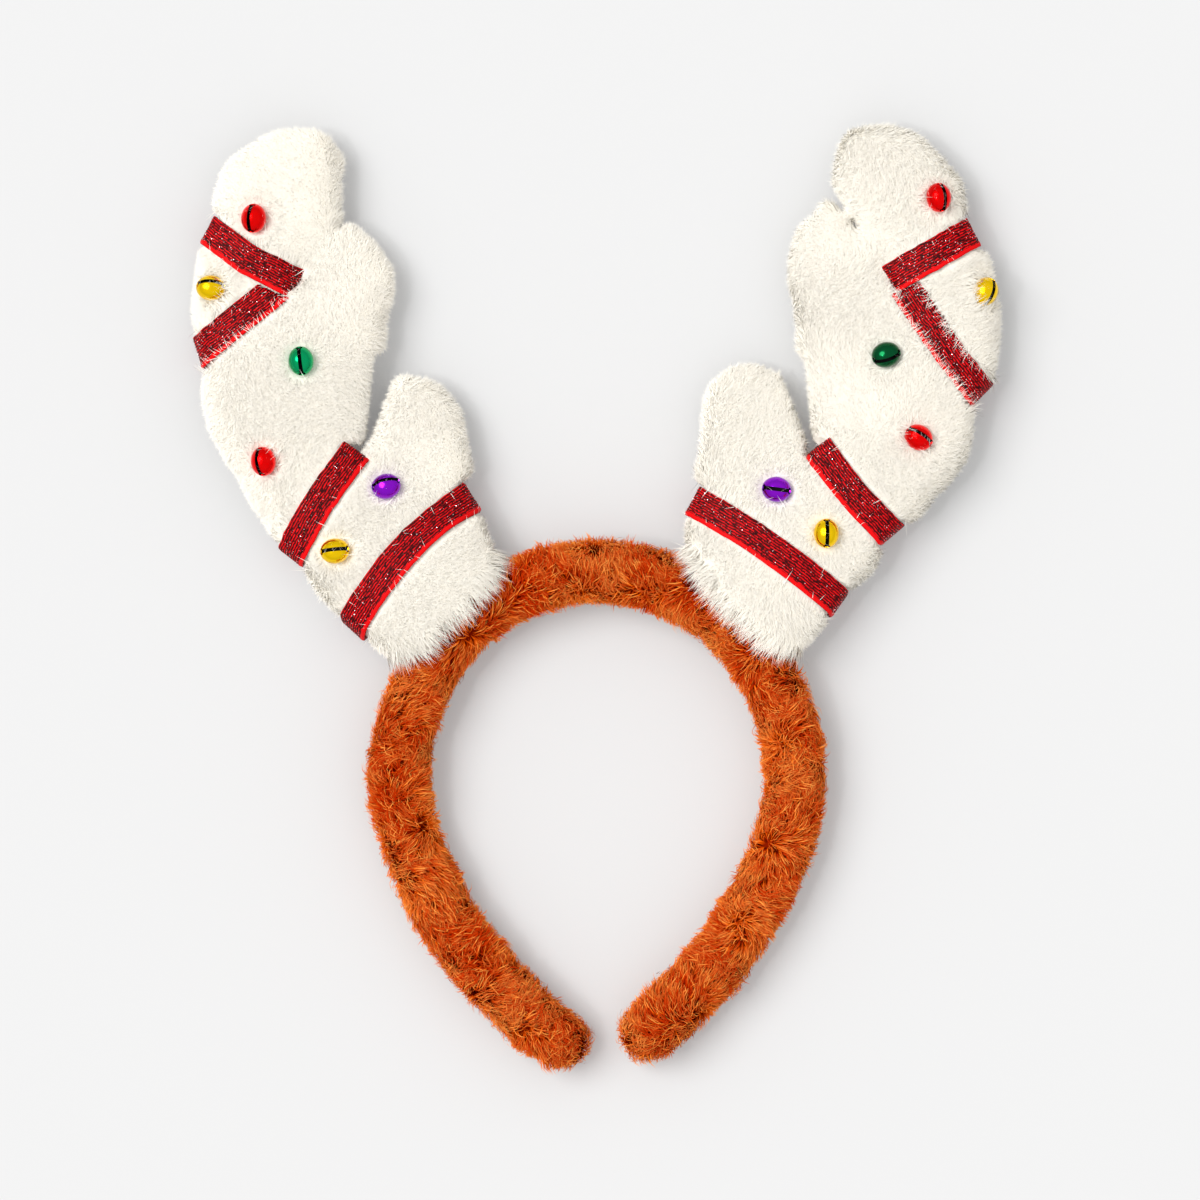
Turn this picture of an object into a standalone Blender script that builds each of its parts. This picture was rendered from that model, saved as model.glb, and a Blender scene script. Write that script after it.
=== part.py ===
"""Reindeer antler headband: a band in brown plush with two stuffed white antlers,
glitter ribbon wound round the antlers and jingle bells sewn on them.

It lies flat on a surface at z = 0. +X is to the right, +Y runs from the band's tips
to the antlers' tips, and +Z is up. The origin is under the middle of its outline.
Metres and degrees throughout.
"""
import math
import random

import bpy
import bmesh
from mathutils import Matrix, Vector
from mathutils.bvhtree import BVHTree

# Band
BAND_HALF_WIDTH = 0.0635     # centre of the band to the middle of the plush tube, at its sides
COVER_RADIUS = 0.0111        # middle of the plush tube to the tips of its locks
LOCK_DEPTH = 0.0025          # how far the dips between the locks lie under their tips
LOCK_SPACING = 0.0072        # from one ring of locks to the next
LOCK_LEAN = 0.0024           # how far a lock's tip leans along the band
COVER_SIDES = 12
BAND_LIFT = 0.0016           # the antlers' hems hold the band this far off the surface
LEFT_TIP_TURN = -177.0
RIGHT_TIP_TURN = 172.6
TIP_TUFT = 0.0035            # pointed tuft past each end of the band

# Antlers
ANTLER_HEIGHT = 0.1526       # from the middle of an antler's foot to its top, along Y
ANTLER_THICKNESS = 0.0252    # stuffed trunk, front to back
ANTLER_TURN = 40.4           # where an antler stands, from the top of the band
ANTLER_SEAT = 0.0090         # middle of the plush tube to the middle of an antler's foot
HEM_REACH = 0.0044           # middle of the plush tube to the antler's hem
HEM_TUFT = 0.0014            # half the height of the tufts along the hem
HEM_TUFT_SPACING = 0.0048
PUFF = 2.6                   # 2 gives round edges, more gives fuller ones
SKIN_STEP = 0.0073           # size of the faces of an antler's skin
SKIN_EASE = 0.0016           # what smoothing takes off the skin, added to it first
TUFT_DEPTH = 0.0004
PRESSED_FLAT = 0.0009        # plush lower than this is pressed flat by its weight
CLEFT_SHOULDER = 0.0042      # width of the soft shoulders of a cleft

# Ribbons
RIBBON_WIDTH = 0.0098
RIBBON_THICKNESS = 0.0010
RIBBON_SINK = 0.0004         # how far a ribbon's inner face presses into the plush
RIBBON_SQUEEZE = 0.12        # share by which a tight ribbon thins the antler
RIBBON_SQUEEZE_REACH = 0.0075
TINE_ROOM = 0.0010           # past the inner end of a ribbon that two tines press on
FOOT_ROOM = 0.0060           # past the inner end of the ribbon round a foot
RIBBON_STEPS = 18            # faces round one turn of ribbon

# Bells
BELL_LENGTH = 0.0094         # along the slit
BELL_WIDTH = 0.0081
BELL_WALL = 0.0005
BELL_SLIT = 0.0012
BELL_SLIT_END = 0.0022       # width of the round ends of the slit
BELL_PROUD = 0.0014          # middle of a bell above the plush
BELL_DIMPLE = 0.0012
BELL_DIMPLE_REACH = 0.0070

GAP = 0.0003                 # left between pieces that touch

# The band's centre line, a row for each place:
# turn from the top, reach as a share of BAND_HALF_WIDTH, lift as a share of BAND_LIFT
BAND_ROUTE = [
    (0, 1.025, 1.0),
    (30, 1.020, 1.0),
    (60, 1.000, 1.0),
    (90, 0.997, 0.3),
    (115, 1.000, 0.0),
    (130, 1.032, 0.0),
    (140, 1.075, 0.0),
    (150, 1.137, 0.0),
    (160, 1.215, 0.0),
    (168, 1.310, 0.0),
    (175, 1.362, 0.0),
    (180, 1.380, 0.0),
]

# Sections of each antler, from its foot up. Columns: out from the middle of the foot,
# up from it, and half width, as shares of ANTLER_HEIGHT; thickness as a share of ANTLER_THICKNESS
LEFT_TINES = {
    "top": [
        (-0.006, -0.024, 0.152, 1.12),
        (0.119, 0.069, 0.156, 1.06),
        (0.240, 0.204, 0.150, 0.98),
        (0.342, 0.378, 0.156, 0.98),
        (0.380, 0.524, 0.162, 0.96),
        (0.400, 0.629, 0.143, 0.92),
        (0.402, 0.755, 0.122, 0.86),
        (0.371, 0.826, 0.134, 0.84),
        (0.315, 0.901, 0.103, 0.74),
    ],
    "middle": [
        (0.310, 0.419, 0.126, 0.90),
        (0.258, 0.556, 0.129, 0.86),
        (0.220, 0.677, 0.108, 0.76),
    ],
    "lower": [
        (0.017, 0.042, 0.100, 0.92),
        (0.045, 0.157, 0.122, 0.88),
        (0.053, 0.272, 0.110, 0.80),
        (0.066, 0.384, 0.093, 0.70),
    ],
}
RIGHT_TINES = {
    "top": [
        (-0.010, -0.018, 0.149, 1.12),
        (0.089, 0.080, 0.149, 1.06),
        (0.198, 0.204, 0.146, 0.98),
        (0.333, 0.368, 0.155, 0.98),
        (0.394, 0.514, 0.145, 0.96),
        (0.402, 0.627, 0.136, 0.92),
        (0.379, 0.742, 0.110, 0.86),
        (0.345, 0.824, 0.128, 0.84),
        (0.280, 0.906, 0.109, 0.74),
    ],
    "middle": [
        (0.283, 0.419, 0.130, 0.90),
        (0.241, 0.556, 0.130, 0.86),
        (0.186, 0.706, 0.110, 0.76),
    ],
    "lower": [
        (-0.010, 0.056, 0.108, 0.92),
        (-0.005, 0.178, 0.126, 0.88),
        (0.003, 0.294, 0.109, 0.80),
        (-0.003, 0.407, 0.093, 0.70),
    ],
}

# Clefts between the tines. Columns: out and up of the bottom, out and up of the mouth, and
# width of both, as shares of ANTLER_HEIGHT; how deep its shoulders sink, as a share of the thickness
LEFT_CLEFTS = [
    (0.306, 0.692, 0.188, 0.826, 0.004, 0.018, 0.45),
    (0.172, 0.321, 0.126, 0.520, 0.020, 0.070, 0.15),
]
RIGHT_CLEFTS = [
    (0.300, 0.694, 0.176, 0.862, 0.004, 0.022, 0.45),
    (0.138, 0.317, 0.094, 0.510, 0.018, 0.070, 0.15),
]

# Ribbons from the top down. Columns: out and up of the outer end, out and up of the inner end,
# and bow to the foot's side, as shares of ANTLER_HEIGHT; skew of the inner end; room past the inner end
LEFT_RIBBONS = [
    (0.502, 0.776, 0.319, 0.665, 0.010, 0.00, GAP),
    (0.531, 0.512, 0.367, 0.643, 0.000, 0.53, GAP),
    (0.330, 0.091, 0.189, 0.308, -0.010, 0.00, TINE_ROOM),
    (0.197, -0.061, -0.055, 0.220, -0.030, 0.00, FOOT_ROOM),
]
RIGHT_RIBBONS = [
    (0.474, 0.770, 0.302, 0.672, 0.000, 0.00, GAP),
    (0.497, 0.428, 0.338, 0.649, 0.008, 0.10, GAP),
    (0.306, 0.140, 0.153, 0.319, 0.010, 0.00, TINE_ROOM),
    (0.193, -0.008, -0.111, 0.208, -0.012, 0.00, FOOT_ROOM),
]

# Bells from the top down. Columns: out and up as shares of ANTLER_HEIGHT, turn of the slit from
# the out direction, lean of the mouth to the slit's left, lean along the slit, and colour
LEFT_BELLS = [
    (0.405, 0.797, 94, -22, 0, "red"),
    (0.493, 0.652, 4, 32, 0, "gold"),
    (0.306, 0.499, 83, -4, 0, "green"),
    (0.384, 0.291, 84, -30, 0, "red"),
    (0.128, 0.237, -14, 32, 0, "purple"),
    (0.234, 0.103, -6, 8, 0, "gold"),
]
RIGHT_BELLS = [
    (0.401, 0.841, 96, -30, 0, "red"),
    (0.497, 0.645, 70, -36, 0, "gold"),
    (0.292, 0.512, 18, -26, 0, "green"),
    (0.359, 0.340, -32, 20, 0, "red"),
    (0.064, 0.231, -8, 0, 0, "purple"),
    (0.166, 0.140, 90, -4, 0, "gold"),
]

# Colour, roughness and metallic value of each material
FINISHES = {
    "brown_plush": ((0.45, 0.13, 0.02), 0.9, 0.0),
    "white_plush": ((0.93, 0.90, 0.84), 0.9, 0.0),
    "red_glitter_ribbon": ((0.45, 0.01, 0.01), 0.4, 0.3),
    "red_bell": ((0.80, 0.02, 0.02), 0.2, 1.0),
    "gold_bell": ((0.85, 0.60, 0.08), 0.2, 1.0),
    "green_bell": ((0.02, 0.45, 0.15), 0.2, 1.0),
    "purple_bell": ((0.35, 0.04, 0.60), 0.2, 1.0),
}

UP = Vector((0, 0, 1))


def clear_scene():
    for old in list(bpy.data.objects):
        bpy.data.objects.remove(old, do_unlink=True)


def make_material(name):
    colour, roughness, metallic = FINISHES[name]
    material = bpy.data.materials.new(name)
    material.use_nodes = True
    shader = material.node_tree.nodes["Principled BSDF"]
    shader.inputs["Base Color"].default_value = (*colour, 1)
    shader.inputs["Roughness"].default_value = roughness
    shader.inputs["Metallic"].default_value = metallic
    return material


def add_object(name, mesh, material=None):
    piece = bpy.data.objects.new(name, mesh)
    bpy.context.scene.collection.objects.link(piece)
    if material:
        mesh.materials.append(material)
    mesh.shade_smooth()
    mesh.set_sharp_from_angle(angle=math.radians(50))
    return piece


def mesh_from(name, points, faces):
    mesh = bpy.data.meshes.new(name)
    mesh.from_pydata([tuple(point) for point in points], [], faces)
    mesh.validate()
    return mesh


def face_outward(mesh):
    shape = bmesh.new()
    shape.from_mesh(mesh)
    bmesh.ops.recalc_face_normals(shape, faces=shape.faces)
    if shape.calc_volume(signed=True) < 0:
        bmesh.ops.reverse_faces(shape, faces=shape.faces)
    shape.to_mesh(mesh)
    shape.free()


def bake_modifiers(piece):
    """Replace the object's mesh by what its modifiers make of it."""
    depsgraph = bpy.context.evaluated_depsgraph_get()
    mesh = bpy.data.meshes.new_from_object(piece.evaluated_get(depsgraph))
    piece.modifiers.clear()
    piece.data = mesh


def drop_crumbs(mesh):
    """Keep the largest of the closed shells that cuts leave, and drop the crumbs."""
    shape = bmesh.new()
    shape.from_mesh(mesh)
    waiting = set(shape.faces)
    shells = []
    while waiting:
        shell, edge_of_shell = [], [waiting.pop()]
        while edge_of_shell:
            face = edge_of_shell.pop()
            shell.append(face)
            near = {other for edge in face.edges for other in edge.link_faces} & waiting
            waiting -= near
            edge_of_shell += near
        shells.append(shell)
    shells.sort(key=len)
    crumbs = {vertex for shell in shells[:-1] for face in shell for vertex in face.verts}
    bmesh.ops.delete(shape, geom=list(crumbs), context="VERTS")
    shape.to_mesh(mesh)
    shape.free()


def cut_away(piece, cutters):
    """Cut grooves, seats and clefts. Here EXACT leaves slivers that aren't closed, so MANIFOLD cuts."""
    for cutter in cutters:
        cut = piece.modifiers.new("cut", "BOOLEAN")
        cut.operation = "DIFFERENCE"
        cut.solver = "MANIFOLD"
        cut.object = cutter
        bake_modifiers(piece)
        bpy.data.objects.remove(cutter, do_unlink=True)
    drop_crumbs(piece.data)


def read_row(rows, place):
    """Smooth curve through the rows' first column, for each of the other columns."""
    last = len(rows) - 1
    index = max(i for i in range(last) if rows[i][0] <= place or i == 0)
    before, start = rows[max(index - 1, 0)], rows[index]
    end, after = rows[index + 1], rows[min(index + 2, last)]
    step = end[0] - start[0]
    share = min(max((place - start[0]) / step, 0), 1)
    values = []
    for column in range(1, len(start)):
        slope_in = (end[column] - before[column]) / (end[0] - before[0]) * step
        slope_out = (after[column] - start[column]) / (after[0] - start[0]) * step
        rise = end[column] - start[column]
        cubic = slope_in + slope_out - 2 * rise
        square = 3 * rise - 2 * slope_in - slope_out
        values.append(start[column] + share * (slope_in + share * (square + share * cubic)))
    return values


def route_point(turn, outward=0.0):
    """A point of the band's centre line, or beside it, seen from the band's centre."""
    reach, lift = read_row(BAND_ROUTE, abs(turn))
    distance = reach * BAND_HALF_WIDTH + outward
    angle = math.radians(turn)
    resting = COVER_RADIUS * math.cos(math.pi / COVER_SIDES)
    height = resting + lift * BAND_LIFT
    return Vector((distance * math.sin(angle), distance * math.cos(angle), height))


def route_turns(start, end, spacing):
    """Turns of points that lie an equal distance apart along the band."""
    fine = 400
    turns = [start + (end - start) * i / fine for i in range(fine + 1)]
    travelled = [0.0]
    for turn, following in zip(turns, turns[1:]):
        travelled.append(travelled[-1] + (route_point(following) - route_point(turn)).length)
    count = max(round(travelled[-1] / spacing), 2)
    picked = []
    for i in range(count + 1):
        goal = travelled[-1] * i / count
        nearest = min(range(fine + 1), key=lambda k: abs(travelled[k] - goal))
        picked.append(turns[nearest])
    return picked


def route_frame(turn):
    """Centre, forward direction and outward direction of the band at a turn."""
    small = 0.5
    centre = route_point(turn)
    forward = route_point(turn + small) - route_point(turn - small)
    forward.z = 0
    forward.normalize()
    outward = Vector((-forward.y, forward.x, 0))
    return centre, forward, outward


def tube_mesh(name, rings, tips):
    """A closed tube through rings of points, with a point past each end.

    The faces are split between every second point, so that the points between them can stand up as locks.
    """
    sides = len(rings[0])
    points = [point for ring in rings for point in ring] + tips
    faces = []
    for row in range(len(rings) - 1):
        for side in range(sides):
            following = (side + 1) % sides
            low = row * sides
            high = low + sides
            corners = [low + side, low + following, high + following, high + side]
            if (row + side) % 2 == 0:
                corners = corners[1:] + corners[:1]
            faces += [corners[:3], [corners[2], corners[3], corners[0]]]
    first_tip, last_tip = len(points) - 2, len(points) - 1
    last_ring = (len(rings) - 1) * sides
    for side in range(sides):
        following = (side + 1) % sides
        faces.append((first_tip, following, side))
        faces.append((last_tip, last_ring + side, last_ring + following))
    mesh = mesh_from(name, points, faces)
    face_outward(mesh)
    return mesh


def cover_mesh():
    """The plush tube: rings of locks that lean along the band, flat where it rests."""
    draw = random.Random(5)
    turns = route_turns(LEFT_TIP_TURN, RIGHT_TIP_TURN, LOCK_SPACING)
    end_shares = [0.74, 0.95]
    rings = []
    for row, turn in enumerate(turns):
        centre, forward, outward = route_frame(turn)
        from_end = min(row, len(turns) - 1 - row)
        share = end_shares[from_end] if from_end < len(end_shares) else 1.0
        centre.z = COVER_RADIUS * share if share < 1 else centre.z
        ring = []
        for side in range(COVER_SIDES):
            angle = 2 * math.pi * (side + 0.5) / COVER_SIDES - math.pi / 2
            underneath = side in (0, COVER_SIDES - 1)
            is_lock = (row + side) % 2 == 0
            radius = COVER_RADIUS * share
            lean = 0.0
            if not underneath:
                radius -= LOCK_DEPTH * (0.3 * draw.random() if is_lock else 0.7 + 0.3 * draw.random())
                lean = LOCK_LEAN * share if is_lock else 0.0
            level = max(centre.z + radius * math.sin(angle), 0.0)
            spot = centre + outward * radius * math.cos(angle) + forward * lean
            ring.append(Vector((spot.x, spot.y, level)))
        rings.append(ring)
    tips = []
    for turn, way in ((turns[0], -1), (turns[-1], 1)):
        centre, forward, outward = route_frame(turn)
        centre.z = COVER_RADIUS * end_shares[0]
        tips.append(centre + forward * way * TIP_TUFT)
    return tube_mesh("headband_cover", rings, tips)


def cover_cutter():
    """A smooth tube just clear of the plush tube, along the upper half of the band."""
    sides = 24
    radius = COVER_RADIUS + 2 * GAP
    rings = []
    for turn in range(-100, 101, 4):
        centre, forward, outward = route_frame(turn)
        ring = []
        for side in range(sides):
            angle = 2 * math.pi * side / sides
            ring.append(centre + outward * radius * math.cos(angle) + UP * radius * math.sin(angle))
        rings.append(ring)
    tips = [route_frame(turn)[0] for turn in (-100, 100)]
    return add_object("cover_cutter", tube_mesh("cover_cutter", rings, tips))


def prism_mesh(name, outline):
    """The outline as an upright block that runs past an antler's front and back."""
    low, high = -ANTLER_THICKNESS, 2 * ANTLER_THICKNESS
    count = len(outline)
    points = [(point.x, point.y, level) for level in (low, high) for point in outline]
    faces = [tuple(range(count)), tuple(range(count, 2 * count))]
    for index in range(count):
        following = (index + 1) % count
        faces.append((index, following, count + following, count + index))
    mesh = mesh_from(name, points, faces)
    face_outward(mesh)
    return mesh


def hem_cutter(side):
    """Everything on the head's side of an antler's hem, with a tufted edge."""
    draw = random.Random(3)
    half_span = 45
    middle = side * ANTLER_TURN
    turns = route_turns(middle - half_span, middle + half_span, HEM_TUFT_SPACING / 2)
    outline = [Vector((0, 0, 0))]
    for index, turn in enumerate(turns):
        tuft = HEM_TUFT * draw.uniform(0.5, 1.5) * (1 if index % 2 else -1)
        outline.append(route_point(turn, HEM_REACH + tuft))
    return add_object("hem_cutter", prism_mesh("hem_cutter", outline))


class AntlerFrame:
    """Turns an antler's shares into places: out and up from the middle of its foot."""

    def __init__(self, side):
        self.side = side
        foot = route_point(side * ANTLER_TURN, ANTLER_SEAT)
        self.foot = Vector((foot.x, foot.y, 0))

    def place(self, out, up, height=0.0):
        step = Vector((self.side * out * ANTLER_HEIGHT, up * ANTLER_HEIGHT, height))
        return self.foot + step


def section_points(frame, row):
    """Points of one full, flattened ball, which rests on the surface."""
    out, up, half_width, thickness = row
    width = half_width * ANTLER_HEIGHT + SKIN_EASE
    depth = thickness * ANTLER_THICKNESS / 2
    centre = frame.place(out, up, depth)
    points = [centre + UP * depth, centre - UP * depth]
    rows_up, round_steps = 5, 18
    for step_up in range(1, rows_up + 1):
        rise = math.pi * (step_up / (rows_up + 1) - 0.5)
        ring = abs(math.cos(rise)) ** (2 / PUFF) * width
        level = math.copysign(abs(math.sin(rise)) ** (2 / PUFF), rise) * depth
        for step in range(round_steps):
            angle = 2 * math.pi * step / round_steps
            points.append(centre + Vector((ring * math.cos(angle), ring * math.sin(angle), level)))
    return points


def hull_of(points):
    shape = bmesh.new()
    for point in points:
        shape.verts.new(point)
    made = bmesh.ops.convex_hull(shape, input=shape.verts)
    inside = {item for key in ("geom_interior", "geom_unused") for item in made[key]}
    spare = [item for item in inside if isinstance(item, bmesh.types.BMVert)]
    bmesh.ops.delete(shape, geom=spare, context="VERTS")
    bmesh.ops.recalc_face_normals(shape, faces=shape.faces)
    mesh = bpy.data.meshes.new("hull")
    shape.to_mesh(mesh)
    shape.free()
    return mesh


def stuffed_skin(name, frame, tines):
    """One skin round all sections of all tines."""
    joined = bmesh.new()
    for rows in tines.values():
        for lower, upper in zip(rows, rows[1:]):
            hull = hull_of(section_points(frame, lower) + section_points(frame, upper))
            joined.from_mesh(hull)
            bpy.data.meshes.remove(hull)
    mesh = bpy.data.meshes.new(name)
    joined.to_mesh(mesh)
    joined.free()
    antler = add_object(name, mesh)
    skin = antler.modifiers.new("skin", "REMESH")
    skin.mode = "VOXEL"
    skin.voxel_size = SKIN_STEP
    ease = antler.modifiers.new("ease", "SMOOTH")
    ease.factor = 0.5
    ease.iterations = 2
    bake_modifiers(antler)
    return antler


def fall_off(distance, reach):
    return math.exp(-(distance / reach) ** 2)


class RibbonLine:
    """One turn of ribbon in an upright plane across an antler."""

    def __init__(self, frame, row):
        outer_out, outer_up, inner_out, inner_up, bow, skew, self.room_inside = row
        outer = frame.place(outer_out, outer_up)
        inner = frame.place(inner_out, inner_up)
        self.along = (inner - outer).normalized()
        self.across = Vector((-self.along.y, self.along.x, 0)) * frame.side
        self.middle = (outer + inner) / 2 + UP * ANTLER_THICKNESS * 0.45
        self.half_length = (inner - outer).length / 2
        self.bow = bow * ANTLER_HEIGHT
        self.skew = skew

    def local(self, point):
        step = point - self.middle
        along = step.dot(self.along)
        share = min(abs(along) / self.half_length, 1)
        across = step.dot(self.across) - self.bow * (1 - share * share)
        return along, across

    def edge_points(self, tree, across):
        """Where the ribbon's line at this distance from its middle meets the skin, all the way round."""
        rise = ANTLER_THICKNESS / 2
        inner_end = self.half_length + self.skew * across
        starts, ways, distances = [], [], []
        for step in range(RIBBON_STEPS):
            angle = 2 * math.pi * step / RIBBON_STEPS
            bow = self.bow * math.sin(angle) ** 2
            start = self.middle + self.across * (across + bow)
            way = self.along * self.half_length * math.cos(angle) + UP * rise * math.sin(angle)
            way.normalize()
            hit = tree.ray_cast(start, way)
            distance = hit[3] if hit[0] else self.half_length
            sideways = way.dot(self.along)
            end = inner_end if sideways > 0 else self.half_length
            if distance * abs(sideways) > end:
                distance = end / abs(sideways)
            starts.append(start)
            ways.append(way)
            distances.append(distance)
        points = [start + way * distance for start, way, distance in zip(starts, ways, distances)]
        return self.pulled_tight(points)

    def pulled_tight(self, points):
        """A ribbon bridges the small hollows that it crosses."""
        count = len(points)
        tight = []
        for index, point in enumerate(points):
            chord = (points[index - 1] + points[(index + 1) % count]) / 2
            from_middle = point - self.middle
            from_middle -= self.across * from_middle.dot(self.across)
            hollow = (chord - point).dot(from_middle.normalized())
            tight.append(point.lerp(chord, 1.0 if hollow > 0 else 0.0))
        return tight

    def moved_out(self, points, distances):
        """The same points, moved off the skin in the ribbon's own plane."""
        count = len(points)
        moved = []
        for index, point in enumerate(points):
            tangent = points[(index + 1) % count] - points[index - 1]
            flat = Vector((tangent.dot(self.along), tangent.z))
            flat.normalize()
            normal = self.along * flat.y - UP * flat.x
            moved.append(point + normal * distances[index])
        return moved

    def loop_mesh(self, name, tree, inside, outside, wider=0.0):
        """A closed band whose inner and outer faces lie these distances off the skin."""
        rows = []
        for side in (-1, 1):
            points = self.edge_points(tree, side * RIBBON_WIDTH / 2)
            points = [point + self.across * side * wider for point in points]
            rows.append(self.moved_out(points, inside))
            rows.append(self.moved_out(points, outside))
        inner_low, outer_low, inner_high, outer_high = rows
        corners = [inner_low, outer_low, outer_high, inner_high]
        points = [row[step] for step in range(RIBBON_STEPS) for row in corners]
        faces = []
        for step in range(RIBBON_STEPS):
            here, there = 4 * step, 4 * ((step + 1) % RIBBON_STEPS)
            for corner in range(4):
                following = (corner + 1) % 4
                faces.append((here + corner, here + following, there + following))
                faces.append((here + corner, there + following, there + corner))
        return mesh_from(name, points, faces)


def ribbon_mesh(name, line, tree):
    inside = [-RIBBON_SINK] * RIBBON_STEPS
    outside = [RIBBON_THICKNESS - RIBBON_SINK] * RIBBON_STEPS
    mesh = line.loop_mesh(name, tree, inside, outside)
    press_on_surface(mesh)
    face_outward(mesh)
    return mesh


def press_on_surface(mesh):
    """Where a ribbon runs under the antler, its outer face lies on the surface and not below it."""
    for step in range(RIBBON_STEPS):
        for inner, outer in ((0, 1), (3, 2)):
            low = mesh.vertices[4 * step + outer]
            high = mesh.vertices[4 * step + inner]
            if low.co.z < 0:
                low.co.z = 0
                high.co.z = max(high.co.z, RIBBON_THICKNESS)


def ribbon_cutter(line, tree):
    """The groove that a ribbon lies in. It stays narrow where the next tine presses on the ribbon."""
    inside = [-RIBBON_SINK - GAP] * RIBBON_STEPS
    outside = []
    for step in range(RIBBON_STEPS):
        share = (1 + math.cos(2 * math.pi * step / RIBBON_STEPS)) / 2
        room = line.room_inside * share + 2 * RIBBON_WIDTH * (1 - share)
        outside.append(RIBBON_THICKNESS - RIBBON_SINK + room)
    mesh = line.loop_mesh("ribbon_cutter", tree, inside, outside, wider=GAP)
    for step in range(RIBBON_STEPS):
        for inner in (0, 3):
            spot = mesh.vertices[4 * step + inner].co
            if spot.z < ANTLER_THICKNESS / 4:
                spot.z = max(spot.z, RIBBON_THICKNESS + GAP)
    face_outward(mesh)
    return add_object("ribbon_cutter", mesh)


def bell_grid(length, width, slit, slit_end):
    """Rows of points round a bell. The slit lies along X, over the top of the bell."""
    columns = [-78, -64, -48, -18, 18, 48, 64, 78, 112, 150, 210, 248]
    slit_turns = {-64: slit_end, 64: slit_end, -78: slit / 2, 78: slit / 2}
    rows = []
    for share in (-40, -1, 1, 40):
        row = []
        for turn in columns:
            if abs(share) == 1:
                half = slit_turns.get(turn, slit) / width
                tilt = math.copysign(math.asin(half), share)
            else:
                tilt = math.radians(share)
            round_turn = math.radians(turn)
            x = length / 2 * math.cos(tilt) * math.sin(round_turn)
            z = width / 2 * math.cos(tilt) * math.cos(round_turn)
            row.append(Vector((x, width / 2 * math.sin(tilt), z)))
        rows.append(row)
    return rows


def bell_mesh(name):
    """A thin shell with an outer and an inner skin, open along its slit."""
    outer = bell_grid(BELL_LENGTH, BELL_WIDTH, BELL_SLIT, BELL_SLIT_END)
    thinner = 2 * BELL_WALL
    inner = bell_grid(BELL_LENGTH - thinner, BELL_WIDTH - thinner, BELL_SLIT, BELL_SLIT_END)
    sides = len(outer[0])
    row_count = len(outer)
    slit_row, slit_columns = row_count // 2 - 1, range(7)
    points, faces = [], []
    for skin, half_width, flip in ((outer, BELL_WIDTH / 2, False), (inner, BELL_WIDTH / 2 - BELL_WALL, True)):
        base = len(points)
        points += [point for row in skin for point in row]
        points += [Vector((0, -half_width, 0)), Vector((0, half_width, 0))]
        low_pole, high_pole = len(points) - 2, len(points) - 1
        skin_faces = []
        for row in range(row_count - 1):
            for side in range(sides):
                if row == slit_row and side in slit_columns:
                    continue
                following = (side + 1) % sides
                low, high = base + row * sides, base + (row + 1) * sides
                skin_faces.append((low + side, low + following, high + following, high + side))
        last = base + (row_count - 1) * sides
        for side in range(sides):
            following = (side + 1) % sides
            skin_faces.append((low_pole, base + following, base + side))
            skin_faces.append((high_pole, last + side, last + following))
        faces += [face[::-1] if flip else face for face in skin_faces]
    inner_start = row_count * sides + 2
    rim = [slit_row * sides + side for side in range(8)]
    rim += [(slit_row + 1) * sides + side for side in range(7, -1, -1)]
    for corner, spot in enumerate(rim):
        following = rim[(corner + 1) % len(rim)]
        faces.append((spot, following, inner_start + following, inner_start + spot))
    mesh = mesh_from(name, points, faces)
    face_outward(mesh)
    return mesh


def bell_matrix(frame, row, tree):
    """Where a bell sits on the plush, and how its slit and its mouth are turned."""
    out, up, slit_turn, lean_left, lean_along, _ = row
    above = frame.place(out, up, 2 * ANTLER_THICKNESS)
    spot, normal = tree.ray_cast(above, -UP)[:2]
    raised = (normal + UP).normalized()
    turn = slit_turn if frame.side > 0 else 180 - slit_turn
    left = lean_left * -frame.side
    spin = Matrix.Rotation(math.radians(turn), 4, "Z")
    sideways = Matrix.Rotation(math.radians(left), 4, "X")
    lengthways = Matrix.Rotation(math.radians(lean_along), 4, "Y")
    centre = spot + raised * BELL_PROUD
    return Matrix.Translation(centre) @ spin @ sideways @ lengthways


def bell_cutter(matrix):
    """The round seat of a bell in the plush, clear of the bell all round."""
    segments, rings = 12, 6
    ease = 1.06
    shape = bmesh.new()
    bmesh.ops.create_uvsphere(shape, u_segments=segments, v_segments=rings, radius=1)
    half_length = (BELL_LENGTH / 2 + GAP) * ease
    half_width = (BELL_WIDTH / 2 + GAP) * ease
    size = Matrix.Diagonal((half_length, half_width, half_width, 1))
    bmesh.ops.transform(shape, matrix=matrix @ size, verts=shape.verts)
    mesh = bpy.data.meshes.new("bell_cutter")
    shape.to_mesh(mesh)
    shape.free()
    return add_object("bell_cutter", mesh)


def cleft_cutter(frame, row):
    """A wedge through the antler between two tines, round at its bottom."""
    bottom, mouth = frame.place(*row[:2]), frame.place(*row[2:4])
    bottom_half, mouth_half = row[4] * ANTLER_HEIGHT / 2, row[5] * ANTLER_HEIGHT / 2
    along = (mouth - bottom).normalized()
    across = Vector((-along.y, along.x, 0))
    outline = [
        bottom - along * bottom_half,
        bottom + across * bottom_half,
        mouth + across * mouth_half,
        mouth - across * mouth_half,
        bottom - across * bottom_half,
    ]
    return add_object("cleft_cutter", prism_mesh("cleft_cutter", outline))


def distance_to_line(point, start, end):
    run = end - start
    share = min(max((point - start).dot(run) / run.length_squared, 0), 1)
    return (start + run * share - point).length


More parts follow.
